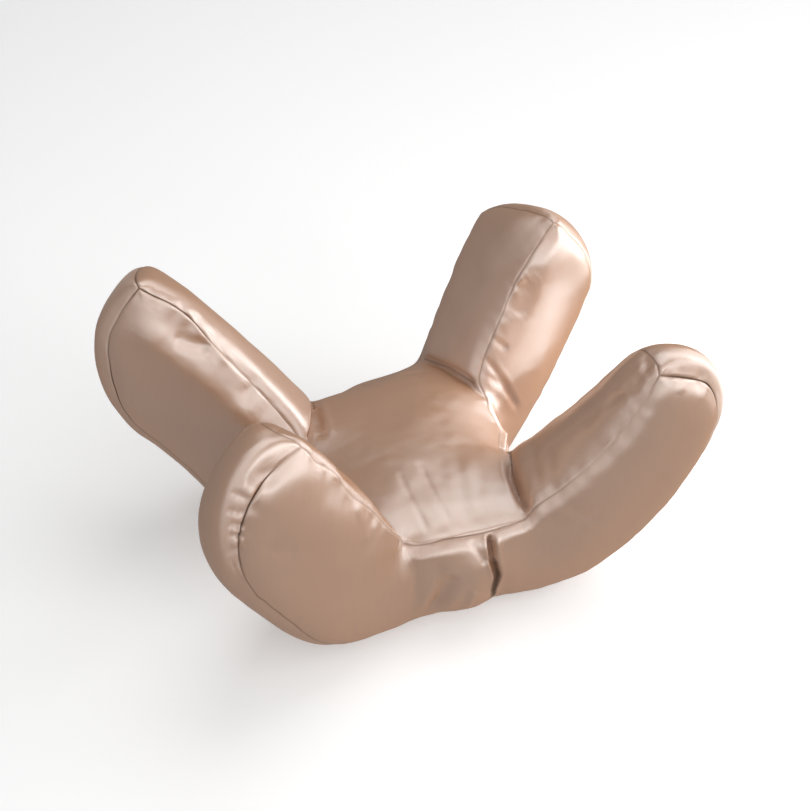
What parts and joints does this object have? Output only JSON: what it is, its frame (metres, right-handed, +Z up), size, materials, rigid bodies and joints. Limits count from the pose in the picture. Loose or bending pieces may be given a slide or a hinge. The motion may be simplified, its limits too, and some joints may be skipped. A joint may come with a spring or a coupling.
{
  "type": "anti-wrinkle pillow",
  "caption": "Stuffed satin pillow with upturned arms round a low pad, which holds a sleeper's head so that the cheeks stay clear of the bed.",
  "frame": {"origin": "on the floor under the middle of the pad, in the flattened underside", "axes": "+X along the pillow's long way, towards the right-hand arms; +Y towards the back arms; +Z up"},
  "size_m": [0.4735, 0.3309, 0.255],
  "materials": {
    "satin_cover": "champagne satin, soft gloss"
  },
  "bodies": {
    "root": {"pillow": "satin_cover"}
  },
  "joints": []
}
